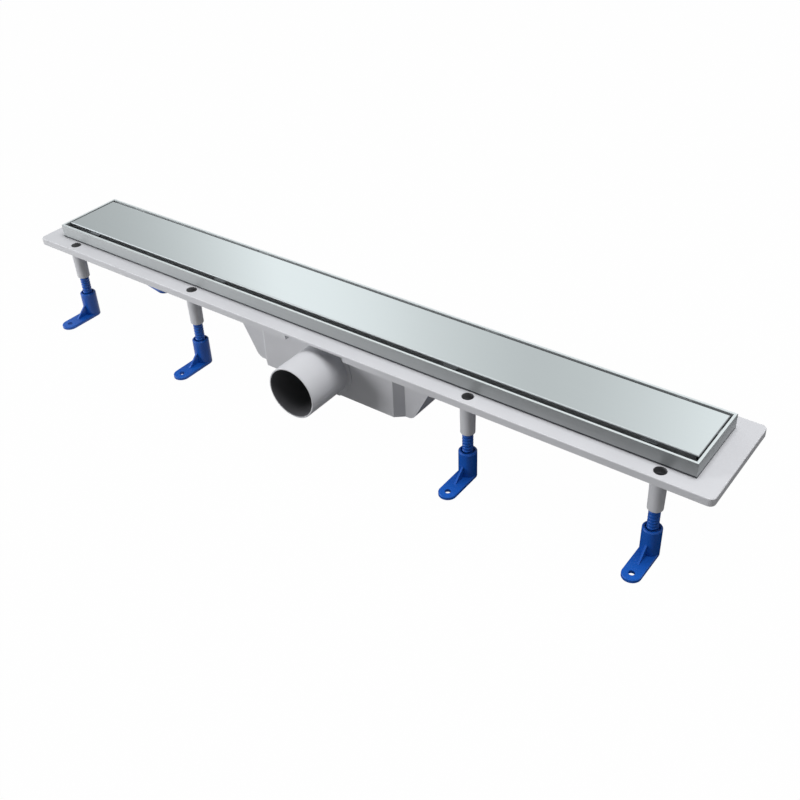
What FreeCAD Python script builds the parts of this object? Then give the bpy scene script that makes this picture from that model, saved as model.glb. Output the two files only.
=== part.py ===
import FreeCAD, Part
import os
import Sketcher

# Linear shower drain: channel with membrane flange, side outlet trap, stainless frame and cover,
# and eight screwed levelling legs. Millimetres, z = 0 at the finished floor, +X along the channel,
# the outlet points to -Y. A depth is measured down from the finished floor.

document = FreeCAD.newDocument("LinearShowerDrain")
sizes = document.addObject("Spreadsheet::Sheet", "Sizes")

drivingSizes = {
    # Trim frame
    "frame_length": 700,
    "frame_width": 72,
    "frame_height": 13.6,
    "frame_wall": 2.6,
    "frame_edge_chamfer": 0.3,
    "frame_foot_gap": 0.8,
    "frame_foot_inset": 1.6,
    "ledge_width": 7.9,
    "ledge_thickness": 1.5,
    # Cover
    "cover_end_gap": 1.1,
    "cover_side_gap": 4.4,
    "cover_shift": 2,
    "sheet_thickness": 1.2,
    "fold_radius": 1.2,
    "corner_relief": 2,
    "tab_width": 13,
    "tab_depth": 2.2,
    "tab_clearance": 0.2,
    "tab_window_height": 4.9,
    "tab_inner_spacing": 262,
    "tab_end_setback": 38.5,
    "end_tab_width": 8,
    "end_tab_shift": 10.6,
    "standing_length": 24,
    "drain_gap_height": 3.5,
    # Flange and trough
    "flange_end_margin": 20,
    "flange_side_margin": 15.5,
    "flange_thickness": 2.5,
    "flange_corner_radius": 5,
    "flange_edge_radius": 0.8,
    "lip_height": 6.8,
    "lip_wall": 2.5,
    "notch_length": 65,
    "notch_shift": 2,
    "trough_wall": 2.5,
    "trough_end_depth": 25.6,
    "trough_middle_depth": 31.6,
    "trough_level_margin": 2.3,
    "rib_thickness": 1.8,
    "rib_setback": 46,
    # Trap
    "trap_length": 165.6,
    "trap_width": 69.2,
    "trap_corner_length": 8.2,
    "trap_corner_width": 6.6,
    "trap_depth": 73.9,
    "trap_wall": 2.2,
    "hopper_top_overhang": 28.7,
    "hopper_bottom_overhang": 8,
    "hopper_corner_radius": 9,
    "opening_lip": 1.2,
    "outlet_diameter": 50,
    "outlet_wall": 1.8,
    "outlet_lift": 0.5,
    "outlet_reach": 48.7,
    "outlet_chamfer": 0.5,
    "collar_diameter": 58,
    "collar_thickness": 1.2,
    # Frame screws
    "screw_end_setback": 20,
    "screw_inner_spacing": 240,
    "screw_diameter": 3.2,
    "screw_hole_clearance": 0.3,
    "screw_length": 9,
    "screw_head_diameter": 5.6,
    "screw_head_height": 1.2,
    "screw_slot_width": 0.8,
    "screw_slot_depth": 0.6,
    "screw_boss_diameter": 7,
    "screw_boss_length": 9,
    # Legs
    "leg_end_setback": 45.5,
    "leg_side_setback": 10,
    "leg_inner_spacing": 314,
    "overall_height": 96,
    "boss_top_diameter": 13.6,
    "boss_bottom_diameter": 12.6,
    "boss_depth": 50.5,
    "boss_edge_chamfer": 0.9,
    "boss_recess_diameter": 10.2,
    "boss_recess_depth": 6,
    "boss_recess_chamfer": 0.4,
    "rod_diameter": 9.5,
    "rod_length": 54,
    "rod_clearance": 0.1,
    "rod_chamfer": 0.6,
    "rod_end_gap": 0.3,
    "rod_slot_width": 1.4,
    "rod_slot_depth": 1.6,
    "rod_groove_width": 2,
    "rod_groove_depth": 0.7,
    "rod_groove_height": 2.4,
    "snap_clearance": 0.1,
    "foot_diameter": 16,
    "foot_height": 26.9,
    "foot_floor": 8.6,
    "foot_edge_chamfer": 0.9,
    "foot_plate_thickness": 3,
    "foot_plate_chamfer": 0.5,
    "foot_reach": 30.3,
    "foot_hole_diameter": 5.2,
    "socket_diameter": 12,
    "socket_depth": 3,
    "gusset_thickness": 1.6,
    "gusset_height": 11,
    "gusset_reach": 20,
    "foot_turn": 90,
    "turned_foot": -10,
    # Siphon insert
    "siphon_length": 58,
    "siphon_wall": 2,
    "siphon_front": 31,
    "siphon_back": 12,
    "siphon_partition": 4,
    "siphon_top_depth": 23,
    "weir_depth": 36,
    "weir_margin": 3,
    "intake_depth": 64,
    "nozzle_clearance": 0.5,
    "nozzle_wall": 2.7,
    "nozzle_reach": 6.5,
    "seal_thickness": 1.6,
    "seal_chamfer": 0.4,
    "seal_clearance": 0.1,
    "seal_setback": 1.6,
    "lid_thickness": 2,
    "lid_rim_height": 2.5,
    "lid_rim_wall": 1.5,
    "lid_clearance": 0.2,
    "lift_tab_length": 24,
    "lift_tab_height": 7,
    "lift_tab_thickness": 2.4,
    # Hair strainers
    "strainer_thickness": 2,
    "strainer_seat": 6,
    "strainer_clearance": 0.5,
    "strainer_ledge": 3,
    "slot_length": 13,
    "slot_width": 3.2,
    "slot_pitch": 7.2,
    "slot_column_pitch": 17.5,
}

derivedSizes = {
    "frame_x": "frame_length / 2",
    "frame_y": "frame_width / 2",
    "rebate_x": "frame_x - frame_wall",
    "rebate_y": "frame_y - frame_wall",
    "trough_x": "rebate_x - ledge_width",
    "trough_y": "rebate_y - ledge_width",
    "trough_width": "2 * trough_y",
    "trough_outer_x": "trough_x + trough_wall",
    "trough_outer_y": "trough_y + trough_wall",
    "trough_outer_width": "2 * trough_outer_y",
    "ledge_depth": "frame_height - ledge_thickness",
    "frame_foot_x": "frame_x - frame_foot_inset",
    "frame_foot_y": "frame_y - frame_foot_inset",
    "frame_foot_depth": "frame_height - frame_foot_gap",
    "plate_depth": "frame_height + flange_thickness",
    "lip_drop": "lip_height - flange_thickness",
    "lip_fillet": "flange_corner_radius - lip_wall",
    "flange_x": "frame_x + flange_end_margin",
    "flange_y": "frame_y + flange_side_margin",
    "lip_x": "flange_x - lip_wall",
    "lip_y": "flange_y - lip_wall",
    "notch_left_x": "notch_length / 2 - notch_shift",
    "notch_right_x": "notch_length / 2 + notch_shift",
    "trap_x": "trap_length / 2",
    "trap_y": "trap_width / 2",
    "trap_flat_x": "trap_x - trap_corner_length",
    "trap_flat_y": "trap_y - trap_corner_width",
    "trap_slant": "sqrt(trap_corner_length ^ 2 + trap_corner_width ^ 2)",
    "sump_x": "trap_x - trap_wall",
    "sump_y": "trap_y - trap_wall",
    "sump_flat_x": "trap_flat_x - trap_wall * (trap_slant - trap_corner_length) / trap_corner_width",
    "sump_flat_y": "trap_flat_y - trap_wall * (trap_slant - trap_corner_width) / trap_corner_length",
    "sump_depth": "trap_depth - trap_wall",
    "seat_depth": "trough_middle_depth + trough_wall",
    "hopper_x": "trap_x + hopper_top_overhang",
    "hopper_low_x": "trap_x + hopper_bottom_overhang",
    "hopper_run": "(hopper_x - hopper_low_x) / (trap_depth - seat_depth)",
    "hopper_wall": "trap_wall * sqrt(1 + hopper_run ^ 2)",
    "hopper_in_x": "hopper_x - hopper_wall",
    "hopper_in_low_x": "hopper_low_x + hopper_run * trap_wall - hopper_wall",
    "hopper_in_y": "trough_outer_y - trap_wall",
    "hopper_in_width": "2 * hopper_in_y",
    "hopper_in_radius": "hopper_corner_radius - trap_wall",
    "opening_x": "hopper_in_x - opening_lip",
    "level_x": "hopper_x + trough_level_margin",
    "seat_drop": "seat_depth - plate_depth",
    "trap_height": "trap_depth - plate_depth",
    "sump_height": "sump_depth - plate_depth",
    "outlet_radius": "outlet_diameter / 2",
    "outlet_bore": "outlet_radius - outlet_wall",
    "outlet_axis_depth": "trap_depth - outlet_radius - outlet_lift",
    "mouth_y": "trap_y + outlet_reach",
    "outlet_length": "outlet_reach + trap_wall / 2",
    "outlet_start_y": "trap_y - trap_wall / 2",
    "bore_length": "outlet_reach + trap_wall",
    "collar_radius": "collar_diameter / 2",
    "collar_length": "collar_thickness + trap_wall / 2",
    "collar_y": "trap_y + collar_thickness",
    "collar_low_depth": "outlet_axis_depth + collar_radius + 1",
    "screw_outer_x": "frame_x - screw_end_setback",
    "screw_inner_x": "screw_inner_spacing / 2",
    "screw_y": "(rebate_y + trough_y) / 2",
    "screw_radius": "screw_diameter / 2",
    "screw_hole": "screw_radius + screw_hole_clearance",
    "screw_head": "screw_head_diameter / 2",
    "screw_head_taper": "atan((screw_head - screw_radius) / screw_head_height)",
    "screw_sink": "screw_head + screw_hole_clearance - screw_hole",
    "screw_boss": "screw_boss_diameter / 2",
    "screw_slot_half": "screw_slot_width / 2",
    "pilot_length": "screw_length - ledge_thickness + 0.5",
    "leg_outer_x": "flange_x - leg_end_setback",
    "leg_inner_x": "leg_inner_spacing / 2",
    "leg_y": "flange_y - leg_side_setback",
    "rib_pitch": "(leg_outer_x - leg_inner_x) / 4",
    "rib_one_x": "leg_inner_x - rib_setback",
    "rib_two_x": "leg_inner_x + rib_pitch",
    "rib_three_x": "leg_inner_x + 2 * rib_pitch",
    "rib_four_x": "leg_inner_x + 3 * rib_pitch",
    "boss_top": "boss_top_diameter / 2",
    "boss_bottom": "boss_bottom_diameter / 2",
    "boss_length": "boss_depth - plate_depth",
    "boss_taper": "atan((boss_bottom - boss_top) / boss_length)",
    "boss_recess": "boss_recess_diameter / 2",
    "rod_radius": "rod_diameter / 2",
    "leg_bore": "rod_radius + rod_clearance",
    "bore_floor_depth": "overall_height - foot_floor",
    "rod_bottom_depth": "bore_floor_depth - rod_end_gap",
    "rod_top_depth": "rod_bottom_depth - rod_length",
    "rod_slot_half": "rod_slot_width / 2",
    "groove_low_depth": "rod_bottom_depth - rod_groove_height",
    "groove_radius": "rod_radius - rod_groove_depth",
    "groove_top_depth": "groove_low_depth - rod_groove_width",
    "snap_radius": "groove_radius + snap_clearance",
    "snap_low_depth": "groove_low_depth - rod_end_gap",
    "snap_height": "rod_groove_width - 2 * rod_end_gap",
    "foot_radius": "foot_diameter / 2",
    "foot_top_depth": "overall_height - foot_height",
    "foot_plate_depth": "overall_height - foot_plate_thickness",
    "foot_hole": "foot_hole_diameter / 2",
    "socket": "socket_diameter / 2",
    "socket_floor_depth": "foot_top_depth + socket_depth",
    "socket_bore_length": "bore_floor_depth - socket_floor_depth",
    "gusset_root": "socket + 1",
    "gusset_top_depth": "foot_plate_depth - gusset_height",
    "siphon_x": "siphon_length / 2",
    "siphon_in_x": "siphon_x - siphon_wall",
    "siphon_in_front": "siphon_front - siphon_wall",
    "siphon_in_back": "siphon_back - siphon_wall",
    "partition_front": "siphon_partition + siphon_wall",
    "siphon_height": "sump_depth - siphon_top_depth",
    "outlet_chamber_height": "siphon_height - siphon_wall",
    "intake_height": "intake_depth - siphon_top_depth",
    "weir_top_depth": "siphon_top_depth + weir_margin",
    "weir_x": "siphon_in_x - weir_margin",
    "nozzle_radius": "outlet_bore - nozzle_clearance",
    "nozzle_bore": "nozzle_radius - nozzle_wall",
    "nozzle_y": "siphon_front + nozzle_reach",
    "nozzle_start_y": "siphon_front - siphon_wall / 2",
    "nozzle_length": "nozzle_reach + siphon_wall / 2",
    "nozzle_bore_length": "nozzle_reach + siphon_wall",
    "seal_outer": "outlet_bore - seal_clearance",
    "seal_inner": "seal_outer - seal_thickness",
    "seal_groove": "seal_inner - seal_clearance",
    "seal_groove_width": "seal_thickness + 4 * seal_clearance",
    "seal_y": "nozzle_y - seal_setback",
    "seal_front_y": "seal_y + seal_thickness / 2",
    "seal_groove_y": "seal_y + seal_groove_width / 2",
    "lid_top_depth": "siphon_top_depth - lid_thickness",
    "lid_rim_x": "siphon_in_x - lid_clearance",
    "lid_rim_front": "siphon_in_front - lid_clearance",
    "lid_rim_back": "siphon_in_back - lid_clearance",
    "lid_rim_in_x": "lid_rim_x - lid_rim_wall",
    "lid_rim_in_front": "lid_rim_front - lid_rim_wall",
    "lid_rim_in_back": "lid_rim_back - lid_rim_wall",
    "lift_tab_x": "lift_tab_length / 2",
    "lift_tab_y": "(siphon_back - siphon_front) / 2",
    "lift_tab_half": "lift_tab_thickness / 2",
    "strainer_x": "opening_x + strainer_seat",
    "strainer_in_x": "siphon_x + strainer_clearance",
    "strainer_y": "trough_y - strainer_clearance",
    "strainer_top_depth": "trough_middle_depth - strainer_thickness",
    "ledge_end_x": "siphon_x + strainer_ledge",
    "slot_start_x": "ledge_end_x + slot_half_width",
    "slot_end_x": "slot_start_x + slot_length",
    "slot_half_width": "slot_width / 2",
    "slot_run": "3 * slot_column_pitch",
    "cover_x": "rebate_x - cover_end_gap",
    "cover_y": "rebate_y - cover_side_gap",
    "cover_near_y": "cover_y - cover_shift",
    "cover_far_y": "cover_y + cover_shift",
    "cover_in_x": "cover_x - sheet_thickness",
    "cover_in_near_y": "cover_near_y - sheet_thickness",
    "cover_in_far_y": "cover_far_y - sheet_thickness",
    "cover_side_height": "ledge_depth - sheet_thickness",
    "relief_height": "ledge_depth - fold_radius",
    "relief_x": "cover_x - corner_relief",
    "relief_near_y": "cover_near_y - corner_relief",
    "relief_far_y": "cover_far_y - corner_relief",
    "tab_inner_x": "tab_inner_spacing / 2",
    "tab_outer_x": "cover_x - tab_end_setback",
    "tab_half": "tab_width / 2",
    "tab_reach": "cover_side_gap - cover_shift - tab_clearance",
    "end_tab_reach": "cover_end_gap - tab_clearance",
    "standing_half": "standing_length / 2",
    "tab_window_depth": "tab_depth + sheet_thickness",
    "end_tab_near": "end_tab_shift - end_tab_width / 2",
    "end_tab_far": "end_tab_shift + end_tab_width / 2",
}


def fill_sheet():
    # Column A holds the name, column B the number or formula under that name as its alias
    row = 0
    for alias, number in drivingSizes.items():
        row += 1
        sizes.set("A%d" % row, alias)
        sizes.set("B%d" % row, str(number))
        sizes.setAlias("B%d" % row, alias)
    for alias, formula in derivedSizes.items():
        row += 1
        sizes.set("A%d" % row, alias)
        sizes.set("B%d" % row, "=" + formula)
        sizes.setAlias("B%d" % row, alias)
    document.recompute()


def value(terms):
    # Number for a signed sum of size names, such as "- leg_y + rod_radius"
    total = 0.0
    sign = 1
    for word in terms.split():
        if word in ("+", "-"):
            sign = 1 if word == "+" else -1
        else:
            total += 0.0 if word == "0" else sign * float(getattr(sizes, word))
            sign = 1
    return total


def bound(terms):
    # The same sum as an expression on the sheet
    return " ".join(word if word in ("+", "-", "0") else "Sizes." + word for word in terms.split())


def new_body(label):
    body = document.addObject("PartDesign::Body", label)
    body.Label = label
    return body


def plane(body, role):
    return next(feature for feature in body.Origin.OriginFeatures if feature.Role == role)


def sketch(body, name, role, offset):
    # Offset runs along the plane's own normal: +Z, -Y for XZ_Plane, +X for YZ_Plane
    drawing = body.newObject("Sketcher::SketchObject", name)
    drawing.AttachmentSupport = [(plane(body, role), "")]
    drawing.MapMode = "FlatFace"
    drawing.setExpression("AttachmentOffset.Base.z", bound(offset))
    return drawing


def pin_point(drawing, edge, end, x, y):
    for kind, terms in (("DistanceX", x), ("DistanceY", y)):
        row = drawing.addConstraint(Sketcher.Constraint(kind, -1, 1, edge, end, value(terms)))
        drawing.setExpression("Constraints[%d]" % row, bound(terms))


def polygon(drawing, points):
    corners = [FreeCAD.Vector(value(x), value(y), 0) for x, y in points]
    edges = [Part.LineSegment(a, b) for a, b in zip(corners, corners[1:] + corners[:1])]
    first = drawing.addGeometry(edges, False)[0]
    count = len(points)
    for k in range(count):
        drawing.addConstraint(Sketcher.Constraint("Coincident", first + k, 2, first + (k + 1) % count, 1))
    for k, (x, y) in enumerate(points):
        pin_point(drawing, first + k, 1, x, y)


def rectangle(drawing, x_low, x_high, y_low, y_high):
    low, high = (value(x_low), value(y_low)), (value(x_high), value(y_high))
    corners = [FreeCAD.Vector(x, y, 0) for x, y in
               ((low[0], low[1]), (high[0], low[1]), (high[0], high[1]), (low[0], high[1]))]
    edges = [Part.LineSegment(a, b) for a, b in zip(corners, corners[1:] + corners[:1])]
    first = drawing.addGeometry(edges, False)[0]
    for k in range(4):
        drawing.addConstraint(Sketcher.Constraint("Coincident", first + k, 2, first + (k + 1) % 4, 1))
        drawing.addConstraint(Sketcher.Constraint("Vertical" if k % 2 else "Horizontal", first + k))
    pin_point(drawing, first, 1, x_low, y_low)
    pin_point(drawing, first + 2, 1, x_high, y_high)


def circle(drawing, x, y, radius):
    centre = FreeCAD.Vector(value(x), value(y), 0)
    edge = drawing.addGeometry(Part.Circle(centre, FreeCAD.Vector(0, 0, 1), value(radius)), False)
    row = drawing.addConstraint(Sketcher.Constraint("Radius", edge, value(radius)))
    drawing.setExpression("Constraints[%d]" % row, bound(radius))
    pin_point(drawing, edge, 3, x, y)


def extrude(kind, drawing, length, backward=False, both=False):
    body = drawing.getParent()
    feature = body.newObject("PartDesign::" + kind, drawing.Name + kind)
    feature.Profile = drawing
    feature.setExpression("Length", bound(length))
    feature.Reversed = backward
    if both:
        feature.SideType = "Symmetric"
    drawing.Visibility = False
    return feature


def pad(drawing, length, backward=False, both=False):
    return extrude("Pad", drawing, length, backward, both)


def pocket(drawing, length, backward=False, both=False):
    # Without backward it cuts against the sketch plane's normal
    return extrude("Pocket", drawing, length, backward, both)


def dress(kind, body, name, size, test):
    # Fillet or chamfer on every edge of the body so far that passes the test
    document.recompute()
    base = body.Tip
    edges = ["Edge%d" % (k + 1) for k, edge in enumerate(base.Shape.Edges) if test(edge)]
    feature = body.newObject("PartDesign::" + kind, name)
    feature.Base = (base, edges)
    feature.setExpression("Radius" if kind == "Fillet" else "Size", bound(size))
    return feature


def near(a, b):
    return abs(a - b) < 0.001


def is_upright(edge, x, y):
    # Straight vertical edge at plus or minus x and y
    return (isinstance(edge.Curve, Part.Line) and edge.BoundBox.XLength < 0.001
            and edge.BoundBox.YLength < 0.001
            and near(abs(edge.Vertexes[0].X), x) and near(abs(edge.Vertexes[0].Y), y))


def is_level(edge, z):
    return near(edge.BoundBox.ZMin, z) and near(edge.BoundBox.ZMax, z)


def is_round(edge, radius):
    return isinstance(edge.Curve, Part.Circle) and near(edge.Curve.Radius, radius)


# Places that several pieces share

legRow = ["- leg_outer_x", "- leg_inner_x", "leg_inner_x", "leg_outer_x"]
legPlaces = [(x, "- leg_y") for x in legRow] + [(x, "leg_y") for x in legRow]
screwRow = ["- screw_outer_x", "- screw_inner_x", "screw_inner_x", "screw_outer_x"]
screwPlaces = [(x, "- screw_y") for x in screwRow] + [(x, "screw_y") for x in screwRow]


def trap_outline(drawing, x, y, flat_x, flat_y):
    polygon(drawing, [("- " + flat_x, "- " + y), (flat_x, "- " + y), (x, "- " + flat_y), (x, flat_y),
                      (flat_x, y), ("- " + flat_x, y), ("- " + x, flat_y), ("- " + x, "- " + flat_y)])


def channel_body():
    # One moulding: flange with its lip, trough, bosses and ribs
    body = new_body("channel_body")
    blank = sketch(body, "FlangeOutline", "XY_Plane", "- frame_height")
    rectangle(blank, "- flange_x", "flange_x", "- flange_y", "flange_y")
    pad(blank, "lip_height", backward=True)
    inside = sketch(body, "LipInside", "XY_Plane", "- plate_depth")
    rectangle(inside, "- lip_x", "lip_x", "- lip_y", "lip_y")
    pocket(inside, "lip_drop")
    dress("Fillet", body, "LipCorners", "lip_fillet",
          lambda edge: is_upright(edge, value("lip_x"), value("lip_y")))
    dress("Fillet", body, "FlangeCorners", "flange_corner_radius",
          lambda edge: is_upright(edge, value("flange_x"), value("flange_y")))
    dress("Fillet", body, "FlangeRim", "flange_edge_radius",
          lambda edge: is_level(edge, -value("frame_height")))

    # Trough with a level middle and two floors that rise to the ends
    trough = sketch(body, "TroughOutside", "XZ_Plane", "0")
    polygon(trough, [("- trough_outer_x", "- plate_depth"), ("trough_outer_x", "- plate_depth"),
                     ("trough_outer_x", "- trough_end_depth - trough_wall"), ("level_x", "- seat_depth"),
                     ("- level_x", "- seat_depth"),
                     ("- trough_outer_x", "- trough_end_depth - trough_wall")])
    pad(trough, "trough_outer_width", both=True)

    bosses = sketch(body, "LegBosses", "XY_Plane", "- plate_depth")
    for x, y in legPlaces:
        circle(bosses, x, y, "boss_top")
    boss_pad = pad(bosses, "boss_length", backward=True)
    boss_pad.setExpression("TaperAngle", bound("boss_taper"))

    screw_bosses = sketch(body, "ScrewBosses", "XY_Plane", "- plate_depth")
    for x, y in screwPlaces:
        circle(screw_bosses, x, y, "screw_boss")
    pad(screw_bosses, "screw_boss_length", backward=True)

    ribs = sketch(body, "CrossRibs", "XY_Plane", "- plate_depth")
    for place in ("rib_one_x", "rib_two_x", "rib_three_x", "rib_four_x"):
        for x_low, x_high in ((place, place + " + rib_thickness"),
                              ("- " + place + " - rib_thickness", "- " + place)):
            rectangle(ribs, x_low, x_high, "trough_outer_y", "lip_y")
            rectangle(ribs, x_low, x_high, "- lip_y", "- trough_outer_y")
    for x_low, x_high in (("notch_right_x", "notch_right_x + rib_thickness"),
                          ("- notch_left_x - rib_thickness", "- notch_left_x")):
        rectangle(ribs, x_low, x_high, "trap_y", "lip_y")
        rectangle(ribs, x_low, x_high, "- lip_y", "- trap_y")
    pad(ribs, "lip_drop", backward=True)

    hollow = sketch(body, "TroughInside", "XZ_Plane", "0")
    polygon(hollow, [("- trough_x", "- frame_height"), ("trough_x", "- frame_height"),
                     ("trough_x", "- trough_end_depth"), ("level_x", "- trough_middle_depth"),
                     ("- level_x", "- trough_middle_depth"), ("- trough_x", "- trough_end_depth")])
    pocket(hollow, "trough_width", both=True)

    # The trough opens down into the hopper, and sideways into the wider part of the trap
    opening = sketch(body, "FloorOpening", "XY_Plane", "- trough_middle_depth")
    rectangle(opening, "- opening_x", "opening_x", "- trough_y", "trough_y")
    pocket(opening, "trough_wall")
    throat = sketch(body, "SideOpening", "XY_Plane", "- plate_depth")
    rectangle(throat, "- sump_x", "sump_x", "- trough_outer_y", "trough_outer_y")
    pocket(throat, "seat_drop")

    bores = sketch(body, "LegBores", "XY_Plane", "- frame_height")
    for x, y in legPlaces:
        circle(bores, x, y, "leg_bore")
    pocket(bores, "boss_depth - frame_height")
    recesses = sketch(body, "LegRecesses", "XY_Plane", "- frame_height")
    for x, y in legPlaces:
        circle(recesses, x, y, "boss_recess")
    pocket(recesses, "boss_recess_depth")
    pilots = sketch(body, "ScrewPilots", "XY_Plane", "- frame_height")
    for x, y in screwPlaces:
        circle(pilots, x, y, "screw_radius + snap_clearance")
    pocket(pilots, "pilot_length")

    notch = sketch(body, "OutletNotch", "XY_Plane", "- plate_depth")
    rectangle(notch, "- notch_left_x", "notch_right_x", "- flange_y", "- lip_y")
    pocket(notch, "lip_drop")

    dress("Chamfer", body, "BossEnds", "boss_edge_chamfer",
          lambda edge: is_level(edge, -value("boss_depth")) and is_round(edge, value("boss_bottom")))
    dress("Chamfer", body, "RecessEdges", "boss_recess_chamfer",
          lambda edge: is_level(edge, -value("frame_height")) and is_round(edge, value("boss_recess")))


def trap_housing():
    # One moulding: sump with cut corners, hopper ends that slope in, outlet with its collar
    body = new_body("trap_housing")
    outline = sketch(body, "TrapOutline", "XY_Plane", "- plate_depth")
    trap_outline(outline, "trap_x", "trap_y", "trap_flat_x", "trap_flat_y")
    pad(outline, "trap_height", backward=True)
    hopper = sketch(body, "HopperOutside", "XZ_Plane", "0")
    polygon(hopper, [("- hopper_x", "- seat_depth"), ("hopper_x", "- seat_depth"),
                     ("hopper_low_x", "- trap_depth"), ("- hopper_low_x", "- trap_depth")])
    pad(hopper, "trough_outer_width", both=True)
    dress("Fillet", body, "HopperCorners", "hopper_corner_radius",
          lambda edge: is_level(edge, -value("trap_depth")) and edge.BoundBox.XLength < 0.001
          and near(abs(edge.Vertexes[0].X), value("hopper_low_x")))

    collar = sketch(body, "Collar", "XZ_Plane", "outlet_start_y")
    circle(collar, "0", "- outlet_axis_depth", "collar_radius")
    pad(collar, "collar_length")
    pipe = sketch(body, "Outlet", "XZ_Plane", "outlet_start_y")
    circle(pipe, "0", "- outlet_axis_depth", "outlet_radius")
    pad(pipe, "outlet_length")
    collar_foot = sketch(body, "CollarFoot", "XZ_Plane", "collar_y")
    rectangle(collar_foot, "- collar_radius", "collar_radius", "- collar_low_depth", "- trap_depth")
    pocket(collar_foot, "collar_length")

    sump = sketch(body, "SumpInside", "XY_Plane", "- plate_depth")
    trap_outline(sump, "sump_x", "sump_y", "sump_flat_x", "sump_flat_y")
    pocket(sump, "sump_height")
    inside = sketch(body, "HopperInside", "XZ_Plane", "0")
    polygon(inside, [("- hopper_in_x", "- seat_depth"), ("hopper_in_x", "- seat_depth"),
                     ("hopper_in_low_x", "- sump_depth"), ("- hopper_in_low_x", "- sump_depth")])
    pocket(inside, "hopper_in_width", both=True)
    dress("Fillet", body, "HopperInsideCorners", "hopper_in_radius",
          lambda edge: is_level(edge, -value("sump_depth")) and edge.BoundBox.XLength < 0.001
          and near(abs(edge.Vertexes[0].X), value("hopper_in_low_x")))
    passage = sketch(body, "TroughPassage", "XY_Plane", "- plate_depth")
    rectangle(passage, "- hopper_x", "hopper_x", "- trough_outer_y", "trough_outer_y")
    pocket(passage, "seat_drop")

    bore = sketch(body, "OutletBore", "XZ_Plane", "mouth_y")
    circle(bore, "0", "- outlet_axis_depth", "outlet_bore")
    pocket(bore, "bore_length")
    dress("Chamfer", body, "OutletMouth", "outlet_chamfer",
          lambda edge: near(edge.BoundBox.YMin, -value("mouth_y"))
          and near(edge.BoundBox.YMax, -value("mouth_y")))


def trim_frame():
    # Frame on a foot that is set back, so that a shadow gap runs round it above the flange
    body = new_body("trim_frame")
    outline = sketch(body, "FrameOutline", "XY_Plane", "0")
    rectangle(outline, "- frame_x", "frame_x", "- frame_y", "frame_y")
    pad(outline, "frame_foot_depth", backward=True)
    foot = sketch(body, "FrameFoot", "XY_Plane", "- frame_foot_depth")
    rectangle(foot, "- frame_foot_x", "frame_foot_x", "- frame_foot_y", "frame_foot_y")
    pad(foot, "frame_foot_gap", backward=True)
    rebate = sketch(body, "Rebate", "XY_Plane", "0")
    rectangle(rebate, "- rebate_x", "rebate_x", "- rebate_y", "rebate_y")
    pocket(rebate, "ledge_depth")
    mouth = sketch(body, "Mouth", "XY_Plane", "0")
    rectangle(mouth, "- trough_x", "trough_x", "- trough_y", "trough_y")
    pocket(mouth, "frame_height")
    holes = sketch(body, "ScrewHoles", "XY_Plane", "- ledge_depth")
    for x, y in screwPlaces:
        circle(holes, x, y, "screw_hole")
    pocket(holes, "ledge_thickness")
    dress("Chamfer", body, "Countersinks", "screw_sink",
          lambda edge: is_level(edge, -value("ledge_depth")) and is_round(edge, value("screw_hole")))
    dress("Chamfer", body, "RimEdges", "frame_edge_chamfer", lambda edge: is_level(edge, 0))


def frame_screws():
    # Eight countersunk screws, flush with the ledge
    body = new_body("frame_screws")
    body.AllowCompound = True
    heads = sketch(body, "ScrewHeads", "XY_Plane", "- ledge_depth")
    for x, y in screwPlaces:
        circle(heads, x, y, "screw_head")
    head_pad = pad(heads, "screw_head_height", backward=True)
    head_pad.setExpression("TaperAngle", "-" + bound("screw_head_taper"))
    shanks = sketch(body, "ScrewShanks", "XY_Plane", "- ledge_depth")
    for x, y in screwPlaces:
        circle(shanks, x, y, "screw_radius")
    pad(shanks, "screw_length", backward=True)
    slots = sketch(body, "ScrewSlots", "XY_Plane", "- ledge_depth")
    for x, y in screwPlaces:
        rectangle(slots, x + " - screw_head", x + " + screw_head",
                  y + " - screw_slot_half", y + " + screw_slot_half")
    pocket(slots, "screw_slot_depth")


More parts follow.
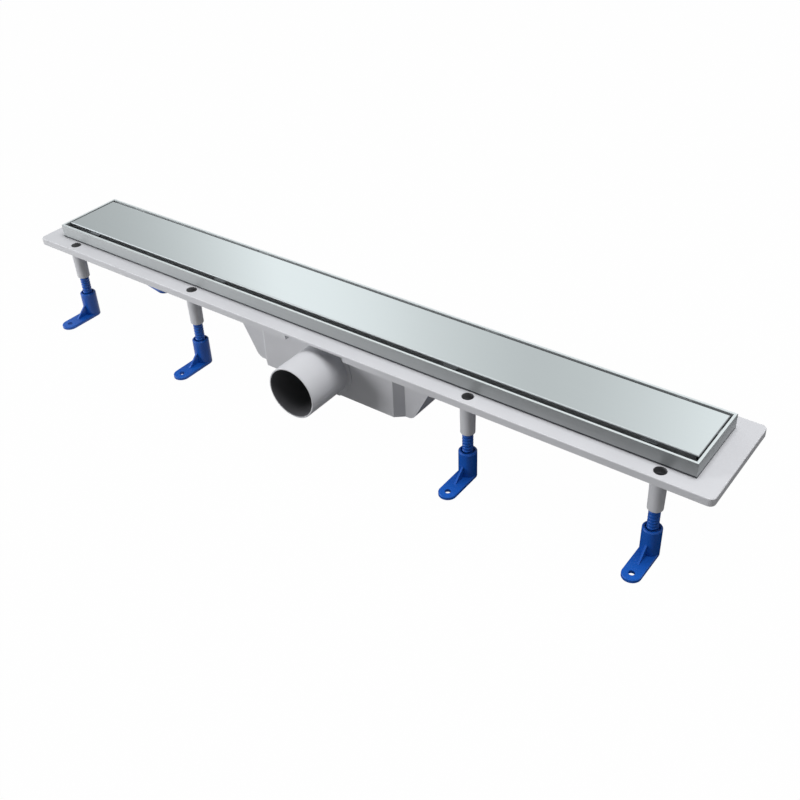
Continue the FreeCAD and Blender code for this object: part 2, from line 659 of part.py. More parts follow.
def cover_plate():
    # One folded sheet: top, four sides that stand on the frame's ledge, spacer tabs pressed out
    body = new_body("cover_plate")
    outline = sketch(body, "CoverOutline", "XY_Plane", "0")
    rectangle(outline, "- cover_x", "cover_x", "- cover_near_y", "cover_far_y")
    pad(outline, "ledge_depth", backward=True)
    dress("Fillet", body, "Folds", "fold_radius", lambda edge: is_level(edge, 0))
    underside = sketch(body, "Underside", "XY_Plane", "- sheet_thickness")
    rectangle(underside, "- cover_in_x", "cover_in_x", "- cover_in_near_y", "cover_in_far_y")
    pocket(underside, "cover_side_height")

    corners = sketch(body, "CornerRelief", "XY_Plane", "- fold_radius")
    for x_low, x_high in (("relief_x", "cover_x"), ("- cover_x", "- relief_x")):
        rectangle(corners, x_low, x_high, "relief_far_y", "cover_far_y")
        rectangle(corners, x_low, x_high, "- cover_near_y", "- relief_near_y")
    pocket(corners, "relief_height")

    tabs = sketch(body, "SpacerTabs", "XY_Plane", "- tab_depth")
    windows = sketch(body, "TabWindows", "XY_Plane", "- tab_window_depth")
    for x in ("- tab_outer_x", "- tab_inner_x", "tab_inner_x", "tab_outer_x"):
        ends = (x + " - tab_half", x + " + tab_half")
        rectangle(tabs, *ends, "cover_in_far_y", "cover_far_y + tab_reach")
        rectangle(tabs, *ends, "- cover_near_y - tab_reach", "- cover_in_near_y")
        rectangle(windows, *ends, "cover_in_far_y", "cover_far_y")
        rectangle(windows, *ends, "- cover_near_y", "- cover_in_near_y")
    for ends, shift in ((("cover_in_x", "cover_x + end_tab_reach"), ("end_tab_near", "end_tab_far")),
                        (("- cover_x - end_tab_reach", "- cover_in_x"), ("- end_tab_far", "- end_tab_near"))):
        rectangle(tabs, *ends, *shift)
    for ends, shift in ((("cover_in_x", "cover_x"), ("end_tab_near", "end_tab_far")),
                        (("- cover_x", "- cover_in_x"), ("- end_tab_far", "- end_tab_near"))):
        rectangle(windows, *ends, *shift)
    pad(tabs, "sheet_thickness", backward=True)
    pocket(windows, "tab_window_height")

    # The long sides stand on the ledge below the tabs only, and water runs in between
    gaps = sketch(body, "DrainGaps", "XY_Plane", "- ledge_depth")
    for x_low, x_high in (("- tab_outer_x + standing_half", "- tab_inner_x - standing_half"),
                          ("- tab_inner_x + standing_half", "tab_inner_x - standing_half"),
                          ("tab_inner_x + standing_half", "tab_outer_x - standing_half")):
        rectangle(gaps, x_low, x_high, "cover_in_far_y", "cover_far_y")
        rectangle(gaps, x_low, x_high, "- cover_near_y", "- cover_in_near_y")
    pocket(gaps, "drain_gap_height", backward=True)


def leg_rod(index, x, y):
    # Screwed leg: rod with a driver slot on top and a groove that the foot snaps into
    body = new_body("leg_rod_%d" % index)
    section = sketch(body, "RodSection%d" % index, "XY_Plane", "- rod_bottom_depth")
    circle(section, "0", "0", "rod_radius")
    pad(section, "rod_length")
    groove = sketch(body, "RodGroove%d" % index, "XY_Plane", "- groove_top_depth")
    circle(groove, "0", "0", "rod_diameter")
    circle(groove, "0", "0", "groove_radius")
    pocket(groove, "rod_groove_width")
    dress("Chamfer", body, "RodEnds%d" % index, "rod_chamfer",
          lambda edge: is_round(edge, value("rod_radius"))
          and (is_level(edge, -value("rod_bottom_depth")) or is_level(edge, -value("rod_top_depth"))))
    slot = sketch(body, "RodSlot%d" % index, "XY_Plane", "- rod_top_depth")
    rectangle(slot, "- rod_radius", "rod_radius", "- rod_slot_half", "rod_slot_half")
    pocket(slot, "rod_slot_depth")
    body.setExpression("Placement.Base.x", bound(x))
    body.setExpression("Placement.Base.y", bound(y))


def leg_foot(index, x, y, turn):
    # Swivel foot, drawn with its plate along +X and then turned about the rod
    body = new_body("leg_foot_%d" % index)
    plate = sketch(body, "FootPlate%d" % index, "XY_Plane", "- overall_height")
    rectangle(plate, "0", "foot_reach", "- foot_radius", "foot_radius")
    pad(plate, "foot_plate_thickness")
    toe = sketch(body, "FootToe%d" % index, "XY_Plane", "- overall_height")
    circle(toe, "foot_reach", "0", "foot_radius")
    pad(toe, "foot_plate_thickness")
    dress("Chamfer", body, "FootPlateRim%d" % index, "foot_plate_chamfer",
          lambda edge: is_level(edge, -value("foot_plate_depth"))
          and edge.BoundBox.XMax > value("foot_radius"))
    barrel = sketch(body, "FootBarrel%d" % index, "XY_Plane", "- overall_height")
    circle(barrel, "0", "0", "foot_radius")
    pad(barrel, "foot_height")
    dress("Chamfer", body, "FootTop%d" % index, "foot_edge_chamfer",
          lambda edge: is_level(edge, -value("foot_top_depth")))
    gusset = sketch(body, "Gusset%d" % index, "XZ_Plane", "0")
    polygon(gusset, [("gusset_root", "- foot_plate_depth"), ("gusset_reach", "- foot_plate_depth"),
                     ("foot_radius", "- gusset_top_depth"), ("gusset_root", "- gusset_top_depth")])
    pad(gusset, "gusset_thickness", both=True)

    socket = sketch(body, "Socket%d" % index, "XY_Plane", "- foot_top_depth")
    circle(socket, "0", "0", "socket")
    pocket(socket, "socket_depth")
    bore = sketch(body, "FootBore%d" % index, "XY_Plane", "- socket_floor_depth")
    circle(bore, "0", "0", "leg_bore")
    pocket(bore, "socket_bore_length")
    snap = sketch(body, "SnapRing%d" % index, "XY_Plane", "- snap_low_depth")
    circle(snap, "0", "0", "leg_bore + rod_end_gap")
    circle(snap, "0", "0", "snap_radius")
    pad(snap, "snap_height")
    hole = sketch(body, "FootHole%d" % index, "XY_Plane", "- foot_plate_depth")
    circle(hole, "foot_reach", "0", "foot_hole")
    pocket(hole, "foot_plate_thickness")
    body.setExpression("Placement.Base.x", bound(x))
    body.setExpression("Placement.Base.y", bound(y))
    body.Placement.Rotation = FreeCAD.Rotation(FreeCAD.Vector(0, 0, 1), value(turn))
    body.setExpression("Placement.Rotation.Angle", bound(turn))


def siphon_box():
    # Lift-out insert: water rises in the back chamber, passes the weir and falls to the nozzle
    body = new_body("siphon_box")
    front = sketch(body, "OutletChamberOutside", "XY_Plane", "- siphon_top_depth")
    rectangle(front, "- siphon_x", "siphon_x", "- siphon_front", "- siphon_partition")
    pad(front, "siphon_height", backward=True)
    back = sketch(body, "IntakeOutside", "XY_Plane", "- siphon_top_depth")
    rectangle(back, "- siphon_x", "siphon_x", "- siphon_partition", "siphon_back")
    pad(back, "intake_height", backward=True)
    ledges = sketch(body, "StrainerLedges", "XY_Plane", "- trough_middle_depth")
    rectangle(ledges, "siphon_x", "ledge_end_x", "- strainer_y", "siphon_back")
    rectangle(ledges, "- ledge_end_x", "- siphon_x", "- strainer_y", "siphon_back")
    pad(ledges, "strainer_thickness", backward=True)
    nozzle = sketch(body, "Nozzle", "XZ_Plane", "nozzle_start_y")
    circle(nozzle, "0", "- outlet_axis_depth", "nozzle_radius")
    pad(nozzle, "nozzle_length")

    chamber = sketch(body, "OutletChamber", "XY_Plane", "- siphon_top_depth")
    rectangle(chamber, "- siphon_in_x", "siphon_in_x", "- siphon_in_front", "- partition_front")
    pocket(chamber, "outlet_chamber_height")
    intake = sketch(body, "IntakeChamber", "XY_Plane", "- siphon_top_depth")
    rectangle(intake, "- siphon_in_x", "siphon_in_x", "- siphon_partition", "siphon_in_back")
    pocket(intake, "intake_height")
    weir = sketch(body, "Weir", "XZ_Plane", "partition_front")
    rectangle(weir, "- weir_x", "weir_x", "- weir_depth", "- weir_top_depth")
    pocket(weir, "siphon_wall")
    bore = sketch(body, "NozzleBore", "XZ_Plane", "nozzle_y")
    circle(bore, "0", "- outlet_axis_depth", "nozzle_bore")
    pocket(bore, "nozzle_bore_length")
    groove = sketch(body, "SealGroove", "XZ_Plane", "seal_groove_y")
    circle(groove, "0", "- outlet_axis_depth", "outlet_radius")
    circle(groove, "0", "- outlet_axis_depth", "seal_groove")
    pocket(groove, "seal_groove_width")


def siphon_seal_ring():
    # Square rubber ring with its outer edges taken off
    body = new_body("siphon_seal_ring")
    section = sketch(body, "SealSection", "XZ_Plane", "seal_front_y")
    circle(section, "0", "- outlet_axis_depth", "seal_outer")
    circle(section, "0", "- outlet_axis_depth", "seal_inner")
    pad(section, "seal_thickness", backward=True)
    dress("Chamfer", body, "SealEdges", "seal_chamfer", lambda edge: is_round(edge, value("seal_outer")))


def siphon_lid():
    body = new_body("siphon_lid")
    plate = sketch(body, "LidPlate", "XY_Plane", "- siphon_top_depth")
    rectangle(plate, "- siphon_x", "siphon_x", "- siphon_front", "siphon_back")
    pad(plate, "lid_thickness")
    rims = sketch(body, "LidRims", "XY_Plane", "- siphon_top_depth")
    rectangle(rims, "- lid_rim_x", "lid_rim_x", "- lid_rim_front", "- partition_front - lid_clearance")
    rectangle(rims, "- lid_rim_in_x", "lid_rim_in_x", "- lid_rim_in_front",
              "- partition_front - lid_clearance - lid_rim_wall")
    rectangle(rims, "- lid_rim_x", "lid_rim_x", "- siphon_partition + lid_clearance", "lid_rim_back")
    rectangle(rims, "- lid_rim_in_x", "lid_rim_in_x",
              "- siphon_partition + lid_clearance + lid_rim_wall", "lid_rim_in_back")
    pad(rims, "lid_rim_height", backward=True)
    tab = sketch(body, "LiftTab", "XY_Plane", "- lid_top_depth")
    rectangle(tab, "- lift_tab_x", "lift_tab_x", "lift_tab_y - lift_tab_half", "lift_tab_y + lift_tab_half")
    pad(tab, "lift_tab_height")


def hair_strainer(label, side):
    # Slotted plate between the siphon and the end of the floor opening; side is "" or "- "
    body = new_body(label)
    plate = sketch(body, label + "_outline", "XY_Plane", "- trough_middle_depth")
    ends = ("strainer_in_x", "strainer_x") if side == "" else ("- strainer_x", "- strainer_in_x")
    rectangle(plate, *ends, "- strainer_y", "strainer_y")
    pad(plate, "strainer_thickness")
    slots = sketch(body, label + "_slots", "XY_Plane", "- strainer_top_depth")
    rows = ["0", "slot_pitch", "- slot_pitch", "slot_pitch + slot_pitch", "- slot_pitch - slot_pitch"]
    for y in rows:
        ends = ("slot_start_x", "slot_end_x") if side == "" else ("- slot_end_x", "- slot_start_x")
        rectangle(slots, *ends, y + " - slot_half_width", y + " + slot_half_width")
    cut = pocket(slots, "strainer_thickness")
    columns = body.newObject("PartDesign::LinearPattern", label + "_columns")
    columns.Originals = [cut]
    columns.Direction = (slots, ["H_Axis"])
    columns.Reversed = side != ""
    columns.setExpression("Length", bound("slot_run"))
    columns.Occurrences = 4
    body.Tip = columns


fill_sheet()
channel_body()
trap_housing()
trim_frame()
frame_screws()
cover_plate()
for place, (legX, legY) in enumerate(legPlaces):
    leg_rod(place + 1, legX, legY)
for place, (legX, legY) in enumerate(legPlaces):
    # The outer foot of the back row at -X is turned along the channel, the others point outwards
    turn = "- foot_turn" if legY == "- leg_y" else "foot_turn"
    if (legX, legY) == ("- leg_outer_x", "leg_y"):
        turn = "turned_foot"
    leg_foot(place + 1, legX, legY, turn)
siphon_box()
siphon_seal_ring()
siphon_lid()
hair_strainer("hair_strainer_right", "")
hair_strainer("hair_strainer_left", "- ")
document.recompute()

for item in document.Objects:
    if "Invalid" in item.State or "Error" in item.State:
        raise RuntimeError("%s is %s" % (item.Name, item.State))
pieces = [item for item in document.Objects if item.TypeId == "PartDesign::Body"]
for piece in pieces:
    if piece.Shape.isNull() or not piece.Shape.isValid():
        raise RuntimeError("%s has no valid shape" % piece.Label)

os.makedirs("parts", exist_ok=True)
for piece in pieces:
    piece.Shape.exportStep("parts/%s.step" % piece.Label)
    print("%-22s solids %d, volume %.0f" % (piece.Label, len(piece.Shape.Solids), piece.Shape.Volume))
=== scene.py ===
import math

import bmesh
import bpy
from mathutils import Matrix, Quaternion, Vector


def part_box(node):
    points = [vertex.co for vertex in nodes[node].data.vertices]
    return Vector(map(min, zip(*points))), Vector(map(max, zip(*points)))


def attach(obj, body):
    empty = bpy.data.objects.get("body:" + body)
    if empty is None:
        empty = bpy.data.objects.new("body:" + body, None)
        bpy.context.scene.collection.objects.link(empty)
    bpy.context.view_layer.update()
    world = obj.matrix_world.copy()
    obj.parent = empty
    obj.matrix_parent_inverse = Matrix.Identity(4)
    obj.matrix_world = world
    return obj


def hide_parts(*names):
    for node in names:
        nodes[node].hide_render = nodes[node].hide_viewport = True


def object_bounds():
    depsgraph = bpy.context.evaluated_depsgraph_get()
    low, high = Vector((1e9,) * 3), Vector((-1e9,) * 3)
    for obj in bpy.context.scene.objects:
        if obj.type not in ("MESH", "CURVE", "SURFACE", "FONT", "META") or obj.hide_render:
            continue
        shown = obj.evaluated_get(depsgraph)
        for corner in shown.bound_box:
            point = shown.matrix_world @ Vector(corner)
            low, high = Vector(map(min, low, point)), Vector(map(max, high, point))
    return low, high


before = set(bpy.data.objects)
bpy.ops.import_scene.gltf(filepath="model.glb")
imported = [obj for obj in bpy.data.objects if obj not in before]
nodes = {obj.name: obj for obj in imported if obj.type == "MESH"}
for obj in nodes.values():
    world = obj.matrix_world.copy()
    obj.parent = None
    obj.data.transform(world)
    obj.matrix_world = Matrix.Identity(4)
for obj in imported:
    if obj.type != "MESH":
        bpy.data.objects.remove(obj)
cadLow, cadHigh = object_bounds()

legNumbers = range(1, 9)
print("frame loaded:", len(nodes), "nodes")


# Shader maths

class Wire:                                    # a socket of a shader that takes part in plain maths
    def __init__(self, shader, socket):
        self.shader = shader
        self.socket = socket

    def maths(self, operation, *values):
        return self.shader.add("ShaderNodeMath", {"operation": operation}, *values)

    def beside(self, output):                  # another output of the same node
        return Wire(self.shader, self.socket.node.outputs[output])

    def __add__(self, other):
        return self.maths("ADD", self, other)

    def __sub__(self, other):
        return self.maths("SUBTRACT", self, other)

    def __rsub__(self, other):
        return self.maths("SUBTRACT", other, self)

    def __mul__(self, other):
        return self.maths("MULTIPLY", self, other)

    def __gt__(self, other):
        return self.maths("GREATER_THAN", self, other)

    def __lt__(self, other):
        return self.maths("LESS_THAN", self, other)

    def __abs__(self):
        return self.maths("ABSOLUTE", self)

    __radd__ = __add__
    __rmul__ = __mul__


class Shader:                                  # one material or world tree
    def __init__(self, tree):
        self.tree = tree
        tree.nodes.clear()

    def add(self, kind, settings, *inputs, output=0, **named):
        node = self.tree.nodes.new(kind)
        for name, setting in settings.items():
            if name == "stops":
                self.setStops(node.color_ramp, setting)
            else:
                setattr(node, name, setting)
        given = list(enumerate(inputs)) + [(name.replace("_", " "), value) for name, value in named.items()]
        for key, value in given:
            self.feed(node.inputs[key], value)
        return Wire(self, node.outputs[output]) if node.outputs else None

    def feed(self, socket, value):
        if isinstance(value, Wire):
            self.tree.links.new(value.socket, socket)
        else:
            socket.default_value = value

    def setStops(self, ramp, stops):
        while len(ramp.elements) > 1:
            ramp.elements.remove(ramp.elements[-1])
        for place, (position, colour) in enumerate(stops):
            element = ramp.elements[0] if place == 0 else ramp.elements.new(position)
            element.position = position
            element.color = (*colour, 1)

    def place(self):                           # the point on the piece, in metres
        return self.add("ShaderNodeTexCoord", {}, output="Object")

    def split(self, vector):                   # the x, y and z of a vector
        x = self.add("ShaderNodeSeparateXYZ", {}, vector)
        return x, x.beside(1), x.beside(2)

    def level(self, least=0.95):               # 1 on faces that look up: the z of their normal is over least
        x, y, z = self.split(self.add("ShaderNodeTexCoord", {}, output="Normal"))
        return z > least

    def stretched(self, scale):                # the point on the piece, stretched for grain with a direction
        return self.add("ShaderNodeMapping", {}, Vector=self.place(), Scale=scale)

    def noise(self, point, scale, detail):
        return self.add("ShaderNodeTexNoise", {}, Vector=point, Scale=scale, Detail=detail)

    def between(self, value, fromRange, toRange):
        return self.add("ShaderNodeMapRange", {}, value, *fromRange, *toRange)

    def mix(self, factor, first, second):      # colours
        mixer = self.add("ShaderNodeMix", {"data_type": "RGBA"}, output=2)
        sockets = mixer.socket.node.inputs
        for socket, value in ((sockets[0], factor), (sockets[6], first), (sockets[7], second)):
            self.feed(socket, (*value, 1) if isinstance(value, tuple) else value)
        return mixer

    def bump(self, height, distance):
        return self.add("ShaderNodeBump", {}, Height=height, Distance=distance)

    def surface(self, colour, roughness, normal, **fixed):
        return self.add("ShaderNodeBsdfPrincipled", {}, Base_Color=colour, Roughness=roughness,
                        Normal=normal, **fixed)


def newMaterial(name):
    material = bpy.data.materials.new(name)
    material.use_nodes = True
    return material, Shader(material.node_tree)


# Finishes of the moulded pieces

greyMoulding = {"light": (0.60, 0.605, 0.63), "dark": (0.52, 0.525, 0.55), "cloudScale": 25.0,
                "grainScale": 1400.0, "grainDepth": 0.00006, "roughness": 0.52, "shine": 0.5}
insertPlastic = {"light": (0.72, 0.73, 0.73), "dark": (0.66, 0.67, 0.67), "cloudScale": 30.0,
                 "grainScale": 2200.0, "grainDepth": 0.00002, "roughness": 0.4, "shine": 0.5}
bluePlastic = {"light": (0.010, 0.108, 0.490), "dark": (0.008, 0.068, 0.355), "cloudScale": 60.0,
               "grainScale": 1800.0, "grainDepth": 0.00003, "roughness": 0.28, "shine": 0.38}
sealRubber = {"light": (0.03, 0.03, 0.03), "dark": (0.018, 0.018, 0.018), "cloudScale": 80.0,
              "grainScale": 3000.0, "grainDepth": 0.00002, "roughness": 0.6, "shine": 0.5}
plasticGrain = {"cloudDetail": 4.0, "grainDetail": 2.0, "roughnessSpread": 0.12}

rodBoxes = [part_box("leg_rod_%d" % leg) for leg in legNumbers]
sealLow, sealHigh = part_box("siphon_seal_ring")
# Round bores: across has a 0 in their own direction, backEnd is the y where they end, and colour is painted
# shade that darkens their insides
legBores = {"centres": [(low + high) / 2 for low, high in rodBoxes], "across": (1, 1, 0), "radius": 0.00515,
            "colour": (0.16, 0.16, 0.168)}
outletBore = {"centres": [(sealLow + sealHigh) / 2], "across": (1, 0, 1), "radius": 0.0236,
              "backEnd": sealHigh.y, "colour": (0.10, 0.10, 0.107)}


def insideBores(shader, bores):                # 1 inside them, 0 elsewhere
    flat = shader.add("ShaderNodeVectorMath", {"operation": "MULTIPLY"}, shader.place(), bores["across"])
    masks = []
    for centre in bores["centres"]:
        axis = centre * Vector(bores["across"])
        distance = shader.add("ShaderNodeVectorMath", {"operation": "DISTANCE"}, flat, axis, output="Value")
        masks.append(distance < bores["radius"])
    mask = sum(masks)
    if "backEnd" in bores:
        x, y, z = shader.split(shader.place())
        mask = mask * (y < bores["backEnd"])
    return mask


def plasticMaterial(name, look, bores=None):
    material, shader = newMaterial(name)
    point = shader.place()
    cloud = shader.noise(point, look["cloudScale"], plasticGrain["cloudDetail"])
    grain = shader.noise(point, look["grainScale"], plasticGrain["grainDetail"])
    colour = shader.mix(cloud, look["dark"], look["light"])
    if bores:                                  # painted shade: their insides get the bores' darker colour
        colour = shader.mix(insideBores(shader, bores), colour, bores["colour"])
    roughness = look["roughness"] + (grain - 0.5) * plasticGrain["roughnessSpread"]
    surface = shader.surface(colour, roughness, shader.bump(grain, look["grainDepth"]),
                             Specular_IOR_Level=look["shine"])
    shader.add("ShaderNodeOutputMaterial", {}, surface)
    return material


# Finishes of the steel pieces

brushedSteel = {"light": (0.50, 0.50, 0.505), "dark": (0.38, 0.38, 0.385), "roughness": 0.55,
                # levelLight and levelDark are painted light: faces that look up get a much lighter colour
                # than the sides
                "levelLight": (0.96, 0.96, 0.96), "levelDark": (0.86, 0.86, 0.86), "levelRoughness": 0.45,
                "along": 14.0, "across": 2600.0, "depth": 0.00006, "roughnessSpread": 0.12,
                # shade is a painted shade colour, and footHeight is the band at the frame's foot that gets
                # it, for the shadow where the frame meets the flange
                "anisotropy": 0.9, "paintedShade": (0.10, 0.10, 0.11), "footHeight": 0.0019}
polishedSteel = {"light": (0.62, 0.62, 0.63), "dark": (0.54, 0.54, 0.55), "roughness": 0.45,
                 # levelLight and levelDark are painted light: the cover's top is given a lighter colour than
                 # its sides
                 "levelLight": (0.82, 0.83, 0.83), "levelDark": (0.78, 0.79, 0.79), "levelRoughness": 0.10,
                 "along": 6.0, "across": 1500.0, "depth": 0.000001, "roughnessSpread": 0.03,
                 # shade is a painted shade colour for the cover's near tab tops, which lie more than tabDepth
                 # below the top
                 "anisotropy": 0.0, "paintedShade": (0.13, 0.13, 0.135), "tabDepth": 0.0015}
steelGrain = {"detail": 4.0, "quarterTurn": 0.25}


def steelMaterial(name, look, shortBarStart=None, shadedFoot=None, shadedTabs=None):
    # Lines run along X; past shortBarStart, in a mitre, they run along Y. All faces below the height
    # shadedFoot, and the near level faces below shadedTabs, get painted shade: the shade colour stands for
    # shadow there
    material, shader = newMaterial(name)
    along, across = look["along"], look["across"]
    lines = shader.noise(shader.stretched((along, across, across)), 1.0, steelGrain["detail"])
    x, y, z = shader.split(shader.place())
    level = shader.level()
    if shortBarStart is not None:
        crossLines = shader.noise(shader.stretched((across, along, across)), 1.0, steelGrain["detail"])
        crossed = (abs(x) - shortBarStart) > abs(y)
        lines = lines * (1 - crossed) + crossLines * crossed
    # painted light: level faces take the lighter level colours, the sides the darker ones
    colour = shader.mix(level, shader.mix(lines, look["dark"], look["light"]),
                        shader.mix(lines, look["levelDark"], look["levelLight"]))
    if shadedFoot is not None:
        # painted shade: a dark band along the foot of the frame
        colour = shader.mix(z < shadedFoot, colour, look["paintedShade"])
    if shadedTabs is not None:
        # painted shade on the near level tab tops of the cover, below shadedTabs
        colour = shader.mix((z < shadedTabs) * (y < 0.0) * level, colour, look["paintedShade"])
    roughness = (look["roughness"] + level * (look["levelRoughness"] - look["roughness"])
                 + (lines - 0.5) * look["roughnessSpread"])
    grain = shader.bump(lines, look["depth"])
    tops = shader.surface(colour, roughness, grain, Metallic=1.0)
    sides = shader.surface(colour, roughness, grain, Metallic=1.0, Anisotropic=look["anisotropy"],
                           Anisotropic_Rotation=steelGrain["quarterTurn"])
    surface = shader.add("ShaderNodeMixShader", {}, level, sides, tops)
    shader.add("ShaderNodeOutputMaterial", {}, surface)
    return material


def dress(node, material):
    mesh = nodes[node].data
    mesh.materials.clear()
    mesh.materials.append(material)


frameLow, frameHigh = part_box("trim_frame")
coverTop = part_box("cover_plate")[1].z
channelGrey = plasticMaterial("channel_moulding", greyMoulding, legBores)
trapGrey = plasticMaterial("trap_moulding", greyMoulding, outletBore)
white = plasticMaterial("insert_plastic", insertPlastic)
blue = plasticMaterial("blue_plastic", bluePlastic)
rubber = plasticMaterial("seal_rubber", sealRubber)
# The frame gets painted shade along its foot
brushed = steelMaterial("brushed_stainless", brushedSteel, shortBarStart=frameHigh.x - frameHigh.y,
                        shadedFoot=frameLow.z + brushedSteel["footHeight"])
screwSteel = steelMaterial("screw_steel", brushedSteel)
# The cover gets painted shade on its near tab tops
polished = steelMaterial("polished_stainless", polishedSteel, shadedTabs=coverTop - polishedSteel["tabDepth"])

for name, material in (("channel_body", channelGrey), ("trap_housing", trapGrey), ("trim_frame", brushed),
                       ("frame_screws", screwSteel), ("cover_plate", polished), ("siphon_box", white),
                       ("siphon_lid", white), ("siphon_seal_ring", rubber),
                       ("hair_strainer_left", white), ("hair_strainer_right", white)):
    dress(name, material)
for leg in legNumbers:
    dress("leg_foot_%d" % leg, blue)
print("finishes done")


# Screwed rods, with the thread that the solids leave out

rodLook = {"pitch": 0.0030, "threadDepth": 0.00065, "crest": 0.34, "flank": 0.2, "plainEnd": 0.0075,
           "chamfer": 0.0012, "around": 40, "perPitch": 10, "sharpDegrees": 50,
           "slotWidth": 0.0014, "slotDepth": 0.0016, "slotReach": 0.02,
           "grooveWidth": 0.0020, "grooveDepth": 0.0007, "grooveHeight": 0.0024}


def threadHeight(phase):
    # 0 at the root, 1 at the crest: a trapezoid over one turn
    crest, flank = rodLook["crest"], rodLook["flank"]
    return min(1.0, max(0.0, (crest / 2 + flank - abs(phase - 0.5)) / flank))


def rodDepth(height, turned, length):
    # How far the surface lies under the full radius; turned goes from 0 to 1 round the rod
    look = rodLook
    if look["grooveHeight"] < height < look["grooveHeight"] + look["grooveWidth"]:
        return look["grooveDepth"]
    depth = 0.0
    if height >= look["plainEnd"]:
        depth = look["threadDepth"] * (1 - threadHeight((height / look["pitch"] - turned) % 1.0))
    return max(depth, look["chamfer"] - min(height, length - height))


def rodMesh(low, high):
    radius = (high.x - low.x) / 2
    length = high.z - low.z
    around = rodLook["around"]
    steps = int(length / rodLook["pitch"] * rodLook["perPitch"])
    mesh = bmesh.new()
    rings = []
    for step in range(steps + 1):
        height = length * step / steps
        ring = []
        for turn in range(around):
            angle = 2 * math.pi * turn / around
            reach = radius - rodDepth(height, turn / around, length)
            ring.append(mesh.verts.new((reach * math.cos(angle), reach * math.sin(angle), low.z + height)))
        rings.append(ring)
    for lower, upper in zip(rings, rings[1:]):
        for turn in range(around):
            after = (turn + 1) % around
            mesh.faces.new((lower[turn], lower[after], upper[after], upper[turn]))
    mesh.faces.new(list(reversed(rings[0])))
    mesh.faces.new(rings[-1])
    data = bpy.data.meshes.new("rod")
    mesh.to_mesh(data)
    mesh.free()
    return data


def cutSlot(rod, top):
    # Driver slot across the top end
    mesh = bmesh.new()
    bmesh.ops.create_cube(mesh, size=1.0)
    size = (rodLook["slotReach"], rodLook["slotWidth"], 2 * rodLook["slotDepth"])
    bmesh.ops.scale(mesh, verts=mesh.verts, vec=size)
    bmesh.ops.translate(mesh, verts=mesh.verts, vec=(0, 0, top))
    data = bpy.data.meshes.new("slot_cutter")
    mesh.to_mesh(data)
    mesh.free()
    cutter = bpy.data.objects.new("slot_cutter", data)
    bpy.context.scene.collection.objects.link(cutter)
    modifier = rod.modifiers.new("slot", "BOOLEAN")
    modifier.object = cutter
    modifier.operation = "DIFFERENCE"
    bpy.context.view_layer.update()
    shape = bpy.data.meshes.new_from_object(rod.evaluated_get(bpy.context.evaluated_depsgraph_get()))
    bpy.data.objects.remove(cutter)
    return shape


def smoothBySharpness(data, degrees):
    for polygon in data.polygons:
        polygon.use_smooth = True
    data.set_sharp_from_angle(angle=math.radians(degrees))


def makeRods():
    # One rod is made and cut, and each leg gets a copy of it at its own place
    low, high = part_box("leg_rod_1")
    master = bpy.data.objects.new("thread_master", rodMesh(low, high))
    bpy.context.scene.collection.objects.link(master)
    shape = cutSlot(master, high.z)
    bpy.data.objects.remove(master)
    smoothBySharpness(shape, rodLook["sharpDegrees"])
    shape.materials.clear()
    shape.materials.append(blue)
    for leg in legNumbers:
        low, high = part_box("leg_rod_%d" % leg)
        centre = (low + high) / 2
        data = shape.copy()
        for vertex in data.vertices:
            vertex.co.x += centre.x
            vertex.co.y += centre.y
        rod = bpy.data.objects.new("threaded_rod_%d" % leg, data)
        bpy.context.scene.collection.objects.link(rod)
        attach(rod, "leg_%d" % leg)
        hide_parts("leg_rod_%d" % leg)


makeRods()
print("threaded rods done")


# Floor, light and camera

floorLook = {"size": 40.0, "underFeet": 0.0075, "colour": (0.36, 0.36, 0.36), "cameraShare": 0.99,
             "mirroredAcross": (-0.65, 0.10), "mirroredLight": (1.6, 0.0)}
# The sky in mirrors: brightness by direction, in degrees round from +X
mirroredSky = [(-180, 0.7), (-168, 1.6), (-158, 2.7), (-145, 2.2), (-137, 1.5), (-130, 0.95), (-122, 0.4),
               (-110, 0.09), (-60, 0.08), (0, 0.4), (60, 0.8), (100, 1.05), (107, 0.98), (111, 0.81),
               (115, 0.69), (119, 0.64), (122, 0.70), (126, 0.81), (129, 0.94), (132, 1.02), (135, 1.05),
               (138, 0.85), (140, 0.72), (143, 0.58), (147, 0.50), (152, 0.60), (160, 0.66), (180, 0.7)]
# Each span is of the direction's own y or z, from -1 to 1
skyLook = {"tint": (0.91, 0.985, 1.0), "zenithSpan": (0.68, 0.85), "zenithLight": 1.1,
           "frontSpanY": (-0.5, -0.1), "frontSpanZ": (0.12, 0.28), "frontLight": 0.35,
           "heightSpan": (-0.3, 0.6), "heightLight": (0.07, 0.48),
           "nearSpan": (-0.3, 0.2), "nearShare": (0.25, 1.0)}
lamps = {
    "overhead": {"place": (0.42, -0.08, 1.6), "aim": (0.14, 0.0, 0.0), "size": 1.0, "power": 27.0},
    "leftFront": {"place": (-1.3, -1.5, 0.38), "aim": (-0.1, 0.0, -0.05), "size": 0.7, "power": 24.0},
}
cameraLook = {"place": (0.5387, -0.6220, 0.4928), "direction": (-0.4950, 0.6371, -0.5908),
              "rollDegrees": -2.67, "focalPixels": 1064.6, "imagePixels": 800.0, "sensor": 36.0,
              "nearest": 0.01, "farthest": 100.0}


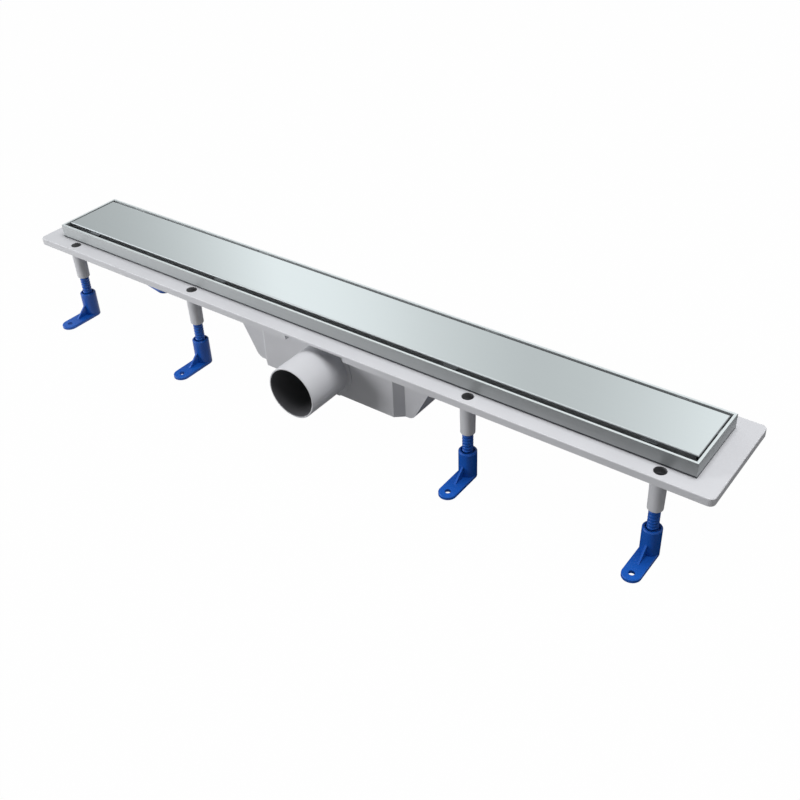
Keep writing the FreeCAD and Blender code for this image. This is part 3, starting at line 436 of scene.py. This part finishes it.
def makeFloor():
    # White to the camera, grey to plain light, and shaded from left to right in mirrors.
    # It lies a little under the feet, clear of them at their lowest setting
    reach = floorLook["size"] / 2
    height = cadLow.z - floorLook["underFeet"]
    corners = [(x * reach, y * reach, height) for x, y in ((-1, -1), (1, -1), (1, 1), (-1, 1))]
    data = bpy.data.meshes.new("floor")
    data.from_pydata(corners, [], [(0, 1, 2, 3)])
    floor = bpy.data.objects.new("floor", data)
    bpy.context.scene.collection.objects.link(floor)
    material, shader = newMaterial("floor_white")
    seen = shader.add("ShaderNodeLightPath", {}, output="Is Camera Ray")
    mirrored = seen.beside("Is Glossy Ray")
    matte = shader.add("ShaderNodeBsdfDiffuse", {}, Color=(*floorLook["colour"], 1))
    x, y, z = shader.split(shader.place())
    strength = seen + mirrored * shader.between(x, floorLook["mirroredAcross"], floorLook["mirroredLight"])
    bright = shader.add("ShaderNodeEmission", {}, Color=(1, 1, 1, 1), Strength=strength)
    share = seen * floorLook["cameraShare"] + mirrored
    surface = shader.add("ShaderNodeMixShader", {}, share, matte, bright)
    shader.add("ShaderNodeOutputMaterial", {}, surface)
    data.materials.append(material)


def makeWorld():
    # White to the camera, banded sky in mirrors, plain light from above on the rest
    world = bpy.data.worlds.new("studio")
    bpy.context.scene.world = world
    world.use_nodes = True
    shader = Shader(world.node_tree)
    seen = shader.add("ShaderNodeLightPath", {}, output="Is Camera Ray")
    mirrored = seen.beside("Is Glossy Ray")
    x, y, z = shader.split(shader.add("ShaderNodeTexCoord", {}, output="Generated"))
    turn = shader.add("ShaderNodeMath", {"operation": "ARCTAN2"}, y, x) * (0.5 / math.pi) + 0.5
    peak = max(light for degrees, light in mirroredSky)
    stops = [((degrees + 180) / 360, (light / peak,) * 3) for degrees, light in mirroredSky]
    bands = shader.add("ShaderNodeValToRGB", {"stops": stops}, turn) * peak
    front = (shader.between(z, skyLook["frontSpanZ"], (0.0, skyLook["frontLight"]))
             * shader.between(y, skyLook["frontSpanY"], (1.0, 0.0)))
    zenith = shader.between(z, skyLook["zenithSpan"], (0.0, 1.0))
    sky = (bands + front) * (1 - zenith) + zenith * skyLook["zenithLight"]
    plain = (shader.between(z, skyLook["heightSpan"], skyLook["heightLight"])
             * shader.between(y, skyLook["nearSpan"], skyLook["nearShare"]))
    strength = seen + (1 - seen) * (mirrored * sky + (1 - mirrored) * plain)
    colour = shader.mix(mirrored, (1.0, 1.0, 1.0), skyLook["tint"])
    background = shader.add("ShaderNodeBackground", {}, Color=colour, Strength=strength)
    shader.add("ShaderNodeOutputWorld", {}, background)


def makeLamps():
    for name, look in lamps.items():
        data = bpy.data.lights.new(name, "AREA")
        data.shape = "SQUARE"
        data.size = look["size"]
        data.energy = look["power"]
        lamp = bpy.data.objects.new(name, data)
        lamp.visible_glossy = False
        lamp.location = look["place"]
        lamp.rotation_mode = "QUATERNION"
        lamp.rotation_quaternion = (Vector(look["aim"]) - Vector(look["place"])).to_track_quat("-Z", "Y")
        bpy.context.scene.collection.objects.link(lamp)


def makeCamera():
    look = cameraLook
    data = bpy.data.cameras.new("camera")
    data.sensor_width = look["sensor"]
    data.lens = look["focalPixels"] / look["imagePixels"] * look["sensor"]
    data.clip_start = look["nearest"]
    data.clip_end = look["farthest"]
    camera = bpy.data.objects.new("camera", data)
    camera.location = look["place"]
    camera.rotation_mode = "QUATERNION"
    roll = Quaternion((0, 0, 1), math.radians(look["rollDegrees"]))
    camera.rotation_quaternion = Vector(look["direction"]).to_track_quat("-Z", "Y") @ roll
    bpy.context.scene.collection.objects.link(camera)
    bpy.context.scene.camera = camera


makeFloor()
makeWorld()
makeLamps()
makeCamera()
bpy.context.scene.view_settings.view_transform = "Standard"
print("stage, light and camera done")
